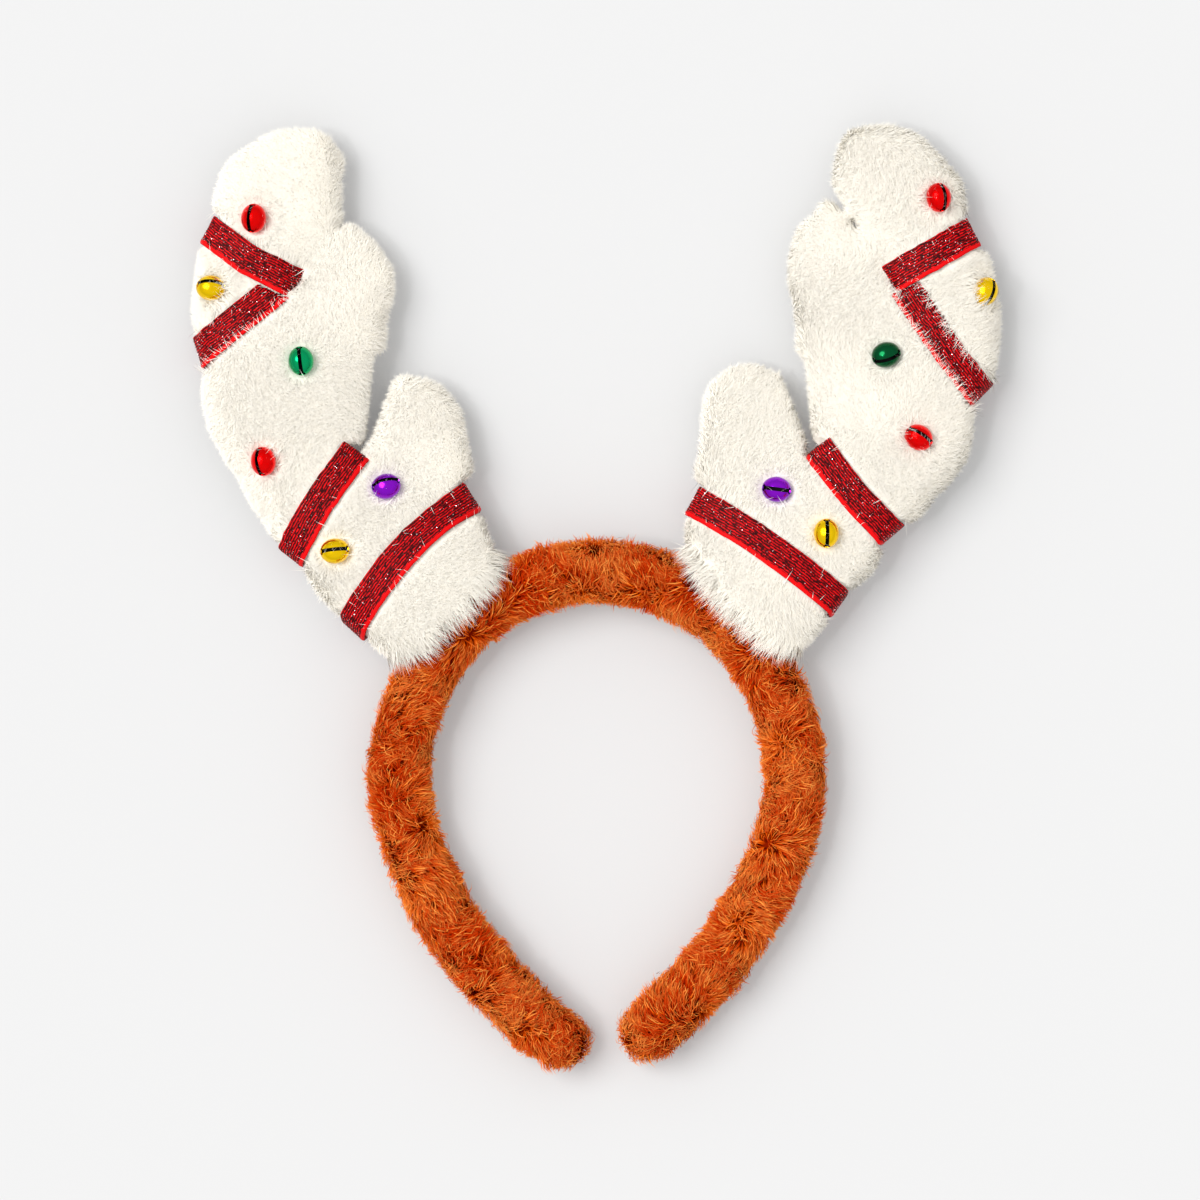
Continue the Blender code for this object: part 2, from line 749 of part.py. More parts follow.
def shape_skin(antler, frame, clefts, lines, bells):
    """Pinch the skin under the ribbons, sink it beside the clefts and dimple it under the bells."""
    draw = random.Random(11)
    middle_height = ANTLER_THICKNESS / 2
    vertices = antler.data.vertices
    normals = [vertex.normal.copy() for vertex in vertices]
    for vertex, normal in zip(vertices, normals):
        spot = vertex.co.copy()
        flat = Vector((spot.x, spot.y, 0))
        squeeze = 0.0
        for cleft in clefts:
            bottom, mouth = frame.place(*cleft[:2]), frame.place(*cleft[2:4])
            squeeze += cleft[-1] * fall_off(distance_to_line(flat, bottom, mouth), CLEFT_SHOULDER)
        for line in lines:
            along, across = line.local(spot)
            if abs(along) > line.half_length * 1.6:
                continue
            pull = fall_off(across, RIBBON_SQUEEZE_REACH)
            past_end = fall_off(max(abs(along) - line.half_length, 0), RIBBON_SQUEEZE_REACH)
            squeeze += RIBBON_SQUEEZE * pull * past_end
            if along < -line.half_length:
                spot -= line.along * (along + line.half_length) * pull
        if spot.z > middle_height:
            spot.z -= (spot.z - middle_height) * min(squeeze, 0.9)
            for out, up, *_ in bells:
                distance = (frame.place(out, up) - flat).length
                spot.z -= BELL_DIMPLE * fall_off(distance, BELL_DIMPLE_REACH)
        else:
            spot.z += (middle_height - spot.z) * min(squeeze, 0.9) * 0.5
        spot += normal * TUFT_DEPTH * (2 * draw.random() - 1)
        if spot.z < PRESSED_FLAT:
            spot.z = 0.0
        vertex.co = spot


def build_antler(side_name, side, tines, clefts, ribbon_rows, bell_rows, finishes):
    frame = AntlerFrame(side)
    antler = stuffed_skin(f"antler_{side_name}", frame, tines)
    lines = [RibbonLine(frame, row) for row in ribbon_rows]
    shape_skin(antler, frame, clefts, lines, bell_rows)
    shape = bmesh.new()
    shape.from_mesh(antler.data)
    tree = BVHTree.FromBMesh(shape)
    shape.free()
    pieces = [antler]
    cutters = []
    for number, line in enumerate(lines, 1):
        name = f"ribbon_{side_name}_{number}"
        pieces.append(add_object(name, ribbon_mesh(name, line, tree), finishes["red_glitter_ribbon"]))
        cutters.append(ribbon_cutter(line, tree))
    for number, row in enumerate(bell_rows, 1):
        name = f"bell_{side_name}_{number}"
        matrix = bell_matrix(frame, row, tree)
        bell = add_object(name, bell_mesh(name), finishes[f"{row[-1]}_bell"])
        bell.matrix_world = matrix
        pieces.append(bell)
        cutters.append(bell_cutter(matrix))
    cutters += [cleft_cutter(frame, row) for row in clefts]
    cut_away(antler, [cover_cutter(), hem_cutter(side)] + cutters)
    antler.data.materials.clear()
    antler.data.materials.append(finishes["white_plush"])
    return pieces


def centre_pieces(pieces):
    """Parent all pieces to an empty and put it so that the outline's middle is the origin."""
    bpy.context.view_layer.update()
    spots = [piece.matrix_world @ vertex.co for piece in pieces for vertex in piece.data.vertices]
    middle = [(min(spot[axis] for spot in spots) + max(spot[axis] for spot in spots)) / 2 for axis in (0, 1)]
    root = bpy.data.objects.new("headband_centre", None)
    bpy.context.scene.collection.objects.link(root)
    for piece in pieces:
        piece.parent = root
    root.location = (-middle[0], -middle[1], 0)


def build_headband():
    clear_scene()
    finishes = {name: make_material(name) for name in FINISHES}
    pieces = [add_object("headband_cover", cover_mesh(), finishes["brown_plush"])]
    pieces += build_antler("left", -1, LEFT_TINES, LEFT_CLEFTS, LEFT_RIBBONS, LEFT_BELLS, finishes)
    pieces += build_antler("right", 1, RIGHT_TINES, RIGHT_CLEFTS, RIGHT_RIBBONS, RIGHT_BELLS, finishes)
    centre_pieces(pieces)


build_headband()
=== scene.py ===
import math

import bmesh
import bpy
import numpy as np
from mathutils import Matrix, Vector
from mathutils.bvhtree import BVHTree
from mathutils.kdtree import KDTree


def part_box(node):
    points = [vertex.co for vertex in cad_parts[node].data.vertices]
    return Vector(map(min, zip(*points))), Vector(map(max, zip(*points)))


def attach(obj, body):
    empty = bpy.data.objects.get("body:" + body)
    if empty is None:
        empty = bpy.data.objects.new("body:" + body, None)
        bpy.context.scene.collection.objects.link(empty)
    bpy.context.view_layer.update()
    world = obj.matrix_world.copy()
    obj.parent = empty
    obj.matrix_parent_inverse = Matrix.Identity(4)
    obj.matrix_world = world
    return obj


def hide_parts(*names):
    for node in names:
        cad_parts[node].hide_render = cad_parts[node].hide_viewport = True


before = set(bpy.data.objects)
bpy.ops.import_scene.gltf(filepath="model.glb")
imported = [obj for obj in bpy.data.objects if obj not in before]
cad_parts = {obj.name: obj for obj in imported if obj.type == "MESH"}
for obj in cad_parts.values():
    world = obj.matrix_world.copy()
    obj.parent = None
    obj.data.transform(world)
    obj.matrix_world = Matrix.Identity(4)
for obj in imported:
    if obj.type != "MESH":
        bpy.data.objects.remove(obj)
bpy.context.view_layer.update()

# Where things are, in metres
BAND_CENTRE = (0.000238, -0.057416)
CAMERA_SPOT = (0.001198, -0.001416, 2.411)
CAMERA_LENS = 225.0

SIDES = ("left", "right")
RIBBON_NAMES = [f"ribbon_{side}_{number}" for side in SIDES for number in range(1, 5)]

# How each plush grows. Lengths in metres, angles in degrees from the skin.
# inset: skin under the solid's surface
# strands: how many, steps: in each, underside: how dense they are there
# length, width: of a strand
# rise, settle: angle at the root and at the tip
# lock: how far tips are drawn together at most, gather: share of the way, per_lock: strands in a lock
# swirl: size of the swirls in which the pile lies, stray: how far strands stray from them
# droop: how far they lean down at the sides
# shading: share of the skin's own normal in a strand's, lift: how far that normal leans up, since light
# comes through the pile
PLUSHES = {
    "brown": dict(
        inset=0.0025, strands=36500, steps=3, underside=0.35, length=0.0066, width=0.00032,
        rise=60, settle=-10, lock=0.0032, gather=0.66, per_lock=12,
        swirl=0.018, stray=0.42, droop=0.5, shading=0.35, lift=0.80,
    ),
    "white": dict(
        inset=0.0009, strands=160000, steps=1, underside=0.30, length=0.0034, width=0.00034,
        rise=26, settle=26, lock=0.0016, gather=0.24, per_lock=14,
        swirl=0.050, stray=0.55, droop=0.7, shading=0.98, lift=1.20,
    ),
}
SKIN_CELL = 0.0018
STRAND_TAPER = (0.85, 1.0, 0.7)      # widths at a strand's steps
FLOOR_ROOM = 0.0003
LOCKS_LONGER = 1.15                  # the band's upper layer of pile
PATCH = 0.012                        # size of the band's darker and paler patches

# How far pile takes notice of other pieces
UNDER_ANTLER, UNDER_RIBBON, UNDER_BELL = 0.006, 0.004, 0.007
BESIDE_RIBBON, BESIDE_BELL, BESIDE_BAND = 0.0030, 0.0080, 0.0055

# Bells: turn of the slit from +X, lean of the mouth sideways and lengthways, all in degrees, colour,
# and share of the pile beside it that lies over it
BELLS = {
    "bell_left_1": (86, -22, 0, "red", 0.05),
    "bell_left_2": (176, 32, 0, "gold", 0.35),
    "bell_left_3": (97, -4, 0, "green", 0.03),
    "bell_left_4": (96, -30, 0, "red", 0.08),
    "bell_left_5": (194, 32, 0, "purple", 0.06),
    "bell_left_6": (186, 8, 0, "gold", 0.05),
    "bell_right_1": (96, 30, 0, "red", 0.20),
    "bell_right_2": (70, 36, 0, "gold", 0.75),
    # The third bell on the right takes a darker copy of the green bell colour.
    "bell_right_3": (18, 26, 0, "dark green", 0.05),
    "bell_right_4": (-32, -20, 0, "red", 0.30),
    "bell_right_5": (-8, 0, 0, "purple", 0.05),
    "bell_right_6": (90, 4, 0, "gold", 0.05),
}
BELL_LENGTH, BELL_WIDTH = 0.0094, 0.0081
BELL_ROOM = 0.0046                   # pile stays this far from the middle of a bell
BELL_WALL = 0.0004
BELL_SLIT, BELL_SLIT_END = 0.0012, 0.0022
SLIT_REACH, SLIT_ROUND = 78, 12      # degrees from the top to the slit's ends, and half of a round end
BELL_STEP = 6                        # degrees

RIBBON_STEPS = 18                    # sections of a ribbon's solid
RIBBON_AROUND, RIBBON_COLUMNS = 150, 24
SATIN_SHARE = 0.13                   # of the ribbon's width, along its lower edge
EDGE_WAVE, EDGE_REACH = 0.0045, 0.00016
RIBBON_TUCK = 0.0018                 # how far the second ribbon runs under the first
RIBBON_TUCK_ZONE = 0.0080
FLECKS, FLECK_SIZE = 420, 0.00015
PILE_OVER_RIBBONS = {"ribbon_right_2": 0.28, "ribbon_left_2": 0.08}
PILE_OVER_OTHERS = 0.012


# Mesh helpers

def arrays_of(mesh):
    mesh.calc_loop_triangles()
    points = np.zeros(len(mesh.vertices) * 3)
    mesh.vertices.foreach_get("co", points)
    faces = np.zeros(len(mesh.loop_triangles) * 3, np.int64)
    mesh.loop_triangles.foreach_get("vertices", faces)
    return points.reshape(-1, 3), faces.reshape(-1, 3)


def mesh_of(name, points, corners, counts):
    """A mesh from points, the corners of all faces in one row, and each face's number of corners."""
    mesh = bpy.data.meshes.new(name)
    mesh.vertices.add(len(points))
    mesh.vertices.foreach_set("co", np.asarray(points, np.float32).ravel())
    mesh.loops.add(len(corners))
    mesh.loops.foreach_set("vertex_index", np.asarray(corners, np.int32))
    starts = np.concatenate([[0], np.cumsum(counts)[:-1]])
    mesh.polygons.add(len(counts))
    mesh.polygons.foreach_set("loop_start", starts.astype(np.int32))
    mesh.update(calc_edges=True)
    mesh.validate()
    mesh.shade_smooth()
    return mesh


def set_map(mesh, coordinates):
    """Coordinates of each vertex as the map that the materials read."""
    layer = mesh.uv_layers.new(name="OFBake")
    corners = np.zeros(len(mesh.loops), np.int32)
    mesh.loops.foreach_get("vertex_index", corners)
    layer.data.foreach_set("uv", coordinates[corners].astype(np.float32).ravel())


def add_piece(name, mesh, materials, replaced=()):
    piece = bpy.data.objects.new(name, mesh)
    bpy.context.scene.collection.objects.link(piece)
    for material in materials:
        mesh.materials.append(material)
    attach(piece, "root")
    if replaced:
        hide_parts(*replaced)
    return piece


def tree_of(names):
    points, faces, start = [], [], 0
    for name in names:
        own_points, own_faces = arrays_of(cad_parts[name].data)
        points.append(own_points)
        faces.append(own_faces + start)
        start += len(own_points)
    return BVHTree.FromPolygons(np.concatenate(points).tolist(), np.concatenate(faces).tolist())


def normalized(vectors):
    return vectors / np.maximum(np.linalg.norm(vectors, axis=1, keepdims=True), 1e-12)


def smooth_noise(points, size, draw, outputs):
    """Smooth random waves about this long, with values mostly from -1 to 1."""
    waves = 7
    values = np.zeros((len(points), outputs))
    for _ in range(waves):
        turns = draw.normal(size=(3, outputs)) * 3.0 / size
        values += np.sin(points @ turns + draw.uniform(0, 2 * math.pi, outputs))
    return values * math.sqrt(1 / waves)


# Materials

def new_material(name, roughness, metallic=0.0, **constants):
    material = bpy.data.materials.new(name)
    material.use_nodes = True
    shader = material.node_tree.nodes["Principled BSDF"]
    shader.inputs["Roughness"].default_value = roughness
    shader.inputs["Metallic"].default_value = metallic
    for socket, value in constants.items():
        shader.inputs[socket.replace("_", " ")].default_value = value
    return material, material.node_tree.nodes, material.node_tree.links, shader


def ramp(nodes, stops):
    node = nodes.new("ShaderNodeValToRGB")
    elements = node.color_ramp.elements
    while len(elements) < len(stops):
        elements.new(0.5)
    for element, (place, colour) in zip(elements, stops):
        element.position = place
        element.color = (*colour, 1)
    return node


def plush_material(name, deep, pale, roughness=0.75, **constants):
    """Colours from root to tip. The map's first coordinate chooses between a deep and a pale strand."""
    material, nodes, links, shader = new_material(name, roughness, **constants)
    place = nodes.new("ShaderNodeUVMap")
    place.uv_map = "OFBake"
    parts = nodes.new("ShaderNodeSeparateXYZ")
    links.new(place.outputs["UV"], parts.inputs[0])
    mix = nodes.new("ShaderNodeMix")
    mix.data_type = "RGBA"
    links.new(parts.outputs["X"], mix.inputs["Factor"])
    for stops, socket in ((deep, "A"), (pale, "B")):
        colours = ramp(nodes, stops)
        links.new(parts.outputs["Y"], colours.inputs["Fac"])
        links.new(colours.outputs["Color"], mix.inputs[socket])
    links.new(mix.outputs["Result"], shader.inputs["Base Color"])
    return material


def make_plush_materials():
    # Brown strands are painted dark at the root and pale at the tip: painted shade deep in the pile and
    # painted light at its top. Whether a strand is deep or pale is its own tone, at random.
    brown = plush_material(
        "brown_plush",
        [(0.0, (0.09, 0.001, 0.0)), (0.35, (0.32, 0.006, 0.0)), (1.0, (0.74, 0.045, 0.0))],
        [(0.0, (0.45, 0.020, 0.0)), (0.35, (0.95, 0.150, 0.002)), (1.0, (1.0, 0.50, 0.11))],
        roughness=0.60, Specular_IOR_Level=0.0,
    )
    white = plush_material(
        "white_plush",
        [(0.0, (0.98, 0.93, 0.83)), (0.4, (0.98, 0.93, 0.83)), (1.0, (0.97, 0.92, 0.83))],
        [(0.0, (0.99, 0.96, 0.88)), (0.4, (0.99, 0.96, 0.88)), (1.0, (0.99, 0.96, 0.89))],
        Specular_IOR_Level=0.0,
    )
    return {"brown": brown, "white": white}


def knit_material():
    """Dark red glitter knit with lines along the ribbon. The map holds metres along and share across."""
    material, nodes, links, shader = new_material("glitter_knit", 0.6, Specular_IOR_Level=0.1)
    place = nodes.new("ShaderNodeUVMap")
    place.uv_map = "OFBake"
    stretch = nodes.new("ShaderNodeMapping")
    stretch.inputs["Scale"].default_value = (80.0, 17.0, 1.0)
    links.new(place.outputs["UV"], stretch.inputs["Vector"])
    grain = nodes.new("ShaderNodeTexVoronoi")
    grain.voronoi_dimensions = "2D"
    grain.inputs["Scale"].default_value = 2.0
    links.new(stretch.outputs["Vector"], grain.inputs["Vector"])
    parts = nodes.new("ShaderNodeSeparateColor")
    links.new(grain.outputs["Color"], parts.inputs[0])
    rows = nodes.new("ShaderNodeTexWave")
    rows.bands_direction = "Y"
    rows.inputs["Scale"].default_value = 4.2
    rows.inputs["Distortion"].default_value = 0.4
    links.new(place.outputs["UV"], rows.inputs["Vector"])
    groove = nodes.new("ShaderNodeMapRange")
    groove.inputs["To Min"].default_value = 0.06
    links.new(rows.outputs["Fac"], groove.inputs["Value"])
    darkened = nodes.new("ShaderNodeMath")
    darkened.operation = "MULTIPLY"
    links.new(parts.outputs["Red"], darkened.inputs[0])
    links.new(groove.outputs["Result"], darkened.inputs[1])
    colours = ramp(nodes, [
        (0.0, (0.020, 0.0, 0.0005)), (0.16, (0.075, 0.0, 0.001)),
        (0.40, (0.46, 0.001, 0.003)), (0.85, (0.78, 0.002, 0.006)),
    ])
    links.new(darkened.outputs[0], colours.inputs["Fac"])
    links.new(colours.outputs["Color"], shader.inputs["Base Color"])
    return material


def satin_material():
    material, nodes, links, shader = new_material("red_satin", 0.45, Specular_IOR_Level=0.05)
    place = nodes.new("ShaderNodeUVMap")
    place.uv_map = "OFBake"
    threads = nodes.new("ShaderNodeTexWave")
    threads.bands_direction = "X"
    threads.inputs["Scale"].default_value = 140.0
    threads.inputs["Distortion"].default_value = 1.0
    links.new(place.outputs["UV"], threads.inputs["Vector"])
    colours = ramp(nodes, [(0.0, (0.62, 0.003, 0.004)), (1.0, (0.85, 0.006, 0.008))])
    links.new(threads.outputs["Fac"], colours.inputs["Fac"])
    links.new(colours.outputs["Color"], shader.inputs["Base Color"])
    return material


def bell_material(colour_name, colour, roughness):
    """Lacquered metal with faint mottling in its shine."""
    material, nodes, links, shader = new_material(f"{colour_name}_bell", roughness, 1.0)
    shader.inputs["Base Color"].default_value = (*colour, 1)
    shader.inputs["Coat Weight"].default_value = 0.08
    shader.inputs["Coat Roughness"].default_value = 0.04
    place = nodes.new("ShaderNodeTexCoord")
    mottle = nodes.new("ShaderNodeTexNoise")
    mottle.inputs["Scale"].default_value = 900.0
    mottle.inputs["Detail"].default_value = 3.0
    links.new(place.outputs["Object"], mottle.inputs["Vector"])
    shine = nodes.new("ShaderNodeMapRange")
    shine.inputs["To Min"].default_value = roughness - 0.05
    shine.inputs["To Max"].default_value = roughness + 0.10
    links.new(mottle.outputs["Fac"], shine.inputs["Value"])
    links.new(shine.outputs["Result"], shader.inputs["Roughness"])
    return material


# Plush

def plush_skin(node, inset):
    """The solid's surface, let in by the depth of the pile and made even and smooth."""
    copy = bpy.data.objects.new(f"{node}_skin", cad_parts[node].data.copy())
    bpy.context.scene.collection.objects.link(copy)
    shape = bmesh.new()
    shape.from_mesh(copy.data)
    bmesh.ops.remove_doubles(shape, verts=shape.verts, dist=0.00001)
    shape.normal_update()
    moves = [vertex.normal * inset for vertex in shape.verts]
    for vertex, move in zip(shape.verts, moves):
        vertex.co -= move
    shape.to_mesh(copy.data)
    shape.free()
    cells = copy.modifiers.new("cells", "REMESH")
    cells.mode = "VOXEL"
    cells.voxel_size = SKIN_CELL
    ease = copy.modifiers.new("ease", "SMOOTH")
    ease.factor = 0.5
    ease.iterations = 4
    depsgraph = bpy.context.evaluated_depsgraph_get()
    mesh = bpy.data.meshes.new_from_object(copy.evaluated_get(depsgraph))
    bpy.data.objects.remove(copy, do_unlink=True)
    points, faces = arrays_of(mesh)
    points[:, 2] = np.maximum(points[:, 2], 0.0004)
    return points, faces, vertex_normals(points, faces)


def vertex_normals(points, faces):
    corners = points[faces]
    across = np.cross(corners[:, 1] - corners[:, 0], corners[:, 2] - corners[:, 0])
    normals = np.zeros_like(points)
    for corner in range(3):
        np.add.at(normals, faces[:, corner], across)
    return normalized(normals)


def scatter(points, faces, normals, plush, draw):
    """Random roots on the skin, fewer on its underside, with the skin's normal at each."""
    corners = points[faces]
    across = np.cross(corners[:, 1] - corners[:, 0], corners[:, 2] - corners[:, 0])
    area = np.linalg.norm(across, axis=1)
    area *= np.where(across[:, 2] < -0.5 * area, plush["underside"], 1.0)
    chosen = draw.choice(len(faces), plush["strands"], p=area / area.sum())
    shares = draw.dirichlet((1, 1, 1), plush["strands"])
    roots = (corners[chosen] * shares[:, :, None]).sum(1)
    root_normals = normalized((normals[faces[chosen]] * shares[:, :, None]).sum(1))
    return roots, root_normals


def covered(roots, normals, tree, reach):
    """Which roots have a neighbouring piece over them."""
    found = [tree.ray_cast(Vector(root), Vector(normal), reach)[0] is not None
             for root, normal in zip(roots, normals)]
    return np.array(found)


def nearest(roots, tree):
    """The nearest spot of other pieces to each root, and its distance."""
    hits = [tree.find_nearest(Vector(root)) for root in roots]
    spots = np.array([hit[0][:] for hit in hits])
    distances = np.array([hit[3] for hit in hits])
    return spots, distances


def laid_flat(directions, normals):
    """Directions turned into the skin's plane."""
    along = (directions * normals).sum(1, keepdims=True)
    return normalized(directions - normals * along)


def pile_leans(roots, normals, plush, field_draw, draw):
    """The way each strand leans: in swirls, with strays, and down at the sides."""
    swirls = smooth_noise(roots, plush["swirl"], field_draw, 3)
    leans = normalized(swirls) + draw.normal(0, plush["stray"], swirls.shape)
    leans[:, 2] -= plush["droop"] * (1 - np.abs(normals[:, 2]))
    return laid_flat(leans, normals)


def combed_over(spots, roots, normals, stray, draw):
    """Leans that point over the spots, raised from the skin."""
    return laid_flat(spots - roots + draw.normal(0, stray, roots.shape), normals) + normals * 0.45


def combed_off(leans, roots, spots, normals):
    """Leans that point away from the spots."""
    return laid_flat(leans * 0.35 + laid_flat(roots - spots, normals), normals)


def gathered(spine, roots, plush, draw):
    """Draw the points of the strands together in locks."""
    count, steps = len(roots), plush["steps"]
    heads = draw.choice(count, max(int(count / plush["per_lock"]), 1), replace=False)
    locks = KDTree(len(heads))
    for index, head in enumerate(heads):
        locks.insert(Vector(roots[head]), index)
    locks.balance()
    own = heads[np.array([locks.find(Vector(root))[1] for root in roots])]
    for step in range(1, steps + 1):
        share = plush["gather"] * (step / steps) ** 1.5
        goal = spine[step][own] - spine[step]
        far = np.linalg.norm(goal, axis=1, keepdims=True)
        goal *= np.minimum(1.0, plush["lock"] / np.maximum(far, 1e-9))
        spine[step] = spine[step] + goal * share


def kept_out(spine, bells):
    """Push the points of the strands out of the bells."""
    for centre in bells:
        for step in range(1, len(spine)):
            from_bell = spine[step] - centre
            far = np.linalg.norm(from_bell, axis=1, keepdims=True)
            spine[step] = centre + from_bell * np.maximum(1.0, BELL_ROOM / far)


def strand_faces(count, steps):
    """The corners of all strands' faces in one row, and each face's number of corners."""
    start = (np.arange(count) * (2 * steps + 1))[:, None]
    rows = []
    for low in range(0, 2 * (steps - 1), 2):
        rows.append(start + np.array([low, low + 1, low + 3, low + 2]))
    quads = np.stack(rows, 1).reshape(-1) if rows else np.zeros(0, np.int64)
    tips = (start + np.array([2 * steps - 2, 2 * steps - 1, 2 * steps])).reshape(-1)
    counts = np.concatenate([np.full(count * (steps - 1), 4), np.full(count, 3)])
    return np.concatenate([quads, tips]), counts


def grow_strands(roots, normals, leans, lengths, tones, plush, draw, bells=()):
    """Curved, tapering strands. Returns points, corners, counts, map and normals."""
    count, steps = len(roots), plush["steps"]
    rise = np.radians(plush["rise"] + draw.normal(0, 9, count))
    settle = np.radians(plush["settle"] + draw.normal(0, 12, count))
    spine = [roots]
    for step in range(steps):
        angle = (rise + (settle - rise) * step / max(steps - 1, 1))[:, None]
        stride = leans * np.cos(angle) + normals * np.sin(angle)
        spine.append(spine[-1] + stride * (lengths / steps)[:, None])
    gathered(spine, roots, plush, draw)
    kept_out(spine, bells)
    for points in spine:
        points[:, 2] = np.maximum(points[:, 2], FLOOR_ROOM)
    twist = np.clip(draw.normal(0, 0.4, count), -0.9, 0.9)[:, None]
    sideways = np.cross(leans, normals)
    sideways = normalized(sideways * np.cos(twist) + normals * np.sin(twist))
    face = normalized(np.cross(sideways, normalized(spine[steps] - spine[0])))
    towards_light = normals * plush["shading"] + (0, 0, plush["lift"])
    flip = np.where((face * towards_light).sum(1, keepdims=True) < 0, -1.0, 1.0)
    sideways, face = sideways * flip, face * flip
    shown = normalized(face * (1 - plush["shading"]) + towards_light)
    widths = plush["width"] * draw.uniform(0.7, 1.3, count)[:, None] / 2
    rows = []
    for step, share in zip(range(steps), STRAND_TAPER):
        reach = sideways * widths * share
        rows += [spine[step] - reach, spine[step] + reach]
    rows.append(spine[steps])
    points = np.stack(rows, 1).reshape(-1, 3)
    corners, counts = strand_faces(count, steps)
    heights = np.array([step / steps for step in range(steps) for _ in (0, 1)] + [1.0])
    offsets = np.array([-1, 1] * steps + [0]) * 0.004
    across = np.clip(tones[:, None] + offsets, 0.002, 0.998)
    along = np.broadcast_to(heights * 0.98 + 0.01, across.shape)
    coordinates = np.stack([across, along], 2).reshape(-1, 2)
    return points, corners, counts, coordinates, np.repeat(shown, len(rows), axis=0)


def plush_mesh(name, skin, grown, skin_tone):
    """One mesh of the skin and its strands."""
    points, faces, normals = skin
    strand_points, corners, counts, coordinates, strand_normals = grown
    # The skin takes the colour of the strands' roots; under the brown pile that is painted shade.
    spread = np.random.default_rng(2).uniform(-0.02, 0.02, (len(points), 2)) + (skin_tone, 0.05)
    mesh = mesh_of(
        name,
        np.concatenate([points, strand_points]),
        np.concatenate([faces.ravel(), corners + len(points)]),
        np.concatenate([np.full(len(faces), 3), counts]),
    )
    set_map(mesh, np.concatenate([spread, coordinates]))
    mesh.normals_split_custom_set_from_vertices(np.concatenate([normals, strand_normals]).tolist())
    return mesh


def build_cover(material):
    """The band's brown plush, in two pieces: the skin with its undercoat, and long locks over it."""
    plush = PLUSHES["brown"]
    skin = plush_skin("headband_cover", plush["inset"])
    no_skin = np.zeros((0, 3)), np.zeros((0, 3), np.int64), np.zeros((0, 3))
    antlers = tree_of(["antler_left", "antler_right"])
    draw = np.random.default_rng(7)
    for name, longer, own_skin, replaced in (
        ("headband_cover_plush", 1.0, skin, ["headband_cover"]),
        ("headband_cover_locks", LOCKS_LONGER, no_skin, []),
    ):
        roots, normals = scatter(*skin, plush, draw)
        free = ~covered(roots, normals, antlers, UNDER_ANTLER)
        roots, normals = roots[free], normals[free]
        field_draw = np.random.default_rng(21)
        leans = pile_leans(roots, normals, plush, field_draw, draw)
        # darker and paler patches, painted light that makes the sides paler, with some pale strands all
        # over
        patches = smooth_noise(roots, PATCH, field_draw, 1)[:, 0]
        edges = 0.75 * (1 - np.abs(normals[:, 2])) ** 1.5
        tones = 0.12 + 0.16 * patches + edges + draw.normal(0, 0.15, len(roots))
        pale = draw.random(len(roots)) < 0.14
        tones = np.where(pale, draw.uniform(0.7, 0.98, len(roots)), tones)
        lengths = plush["length"] * longer * draw.uniform(0.65, 1.2, len(roots))
        grown = grow_strands(roots, normals, leans, lengths, np.clip(tones, 0.02, 0.98), plush, draw)
        mesh = plush_mesh(name, own_skin, grown, 0.2)
        piece = add_piece(name, mesh, [material], replaced)


def comb_round_ribbons(roots, normals, leans, lengths, names, draw):
    """Comb the pile off the ribbons, apart from a share of it that lies over them."""
    for name in names:
        spots, distances = nearest(roots, tree_of([name]))
        beside = distances < BESIDE_RIBBON
        over = beside & (draw.random(len(roots)) < PILE_OVER_RIBBONS.get(name, PILE_OVER_OTHERS))
        beside &= ~over
        leans[beside] = combed_off(leans, roots, spots, normals)[beside]
        lengths[beside] *= 0.8
        leans[over] = combed_over(spots, roots, normals, 0.0008, draw)[over]
        lengths[over] *= 1.3


def comb_round_bells(roots, normals, leans, lengths, centres, draw):
    """Comb the pile off the bells, apart from a share of it that lies over them."""
    for name, centre in centres.items():
        beside = np.linalg.norm(roots - centre, axis=1) < BESIDE_BELL
        over = beside & (draw.random(len(roots)) < BELLS[name][-1])
        beside &= ~over
        leans[beside] = combed_off(leans, roots, centre, normals)[beside]
        lengths[beside] *= 0.85
        leans[over] = laid_flat(centre - roots + draw.normal(0, 0.002, roots.shape), normals)[over]
        lengths[over] *= 1.9


def comb_over_band(roots, normals, leans, lengths, plush, draw):
    """Long tufts that reach over the band."""
    distances = nearest(roots, tree_of(["headband_cover"]))[1]
    to_band = np.zeros_like(roots)
    to_band[:, :2] = np.array(BAND_CENTRE) - roots[:, :2]
    hem = (distances < BESIDE_BAND) & (normals[:, 2] > -0.2)
    leans[hem] = combed_over(roots + normalized(to_band), roots, normals, 0.30, draw)[hem]
    lengths[hem] = plush["length"] * draw.uniform(1.2, 2.3, hem.sum())


def build_antler(side, material):
    """An antler's white plush, combed off its ribbons and bells, with long tufts over the band."""
    plush = PLUSHES["white"]
    node = f"antler_{side}"
    skin = plush_skin(node, plush["inset"])
    draw = np.random.default_rng(11)
    roots, normals = scatter(*skin, plush, draw)
    ribbons = [name for name in RIBBON_NAMES if side in name]
    bells = [name for name in BELLS if side in name]
    centres = {name: np.array((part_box(name)[0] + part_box(name)[1]) / 2) for name in bells}
    under = covered(roots, normals, tree_of(ribbons), UNDER_RIBBON)
    under |= covered(roots, normals, tree_of(bells), UNDER_BELL)
    roots, normals = roots[~under], normals[~under]
    leans = pile_leans(roots, normals, plush, draw, draw)
    lengths = plush["length"] * draw.uniform(0.7, 1.25, len(roots))
    comb_round_ribbons(roots, normals, leans, lengths, ribbons, draw)
    comb_round_bells(roots, normals, leans, lengths, centres, draw)
    comb_over_band(roots, normals, leans, lengths, plush, draw)
    tones = np.clip(0.5 + draw.normal(0, 0.22, len(roots)), 0.02, 0.98)
    grown = grow_strands(roots, normals, leans, lengths, tones, plush, draw, centres.values())
    mesh = plush_mesh(f"{node}_plush", skin, grown, 0.5)
    piece = add_piece(f"{node}_plush", mesh, [material], [node])


# Ribbons

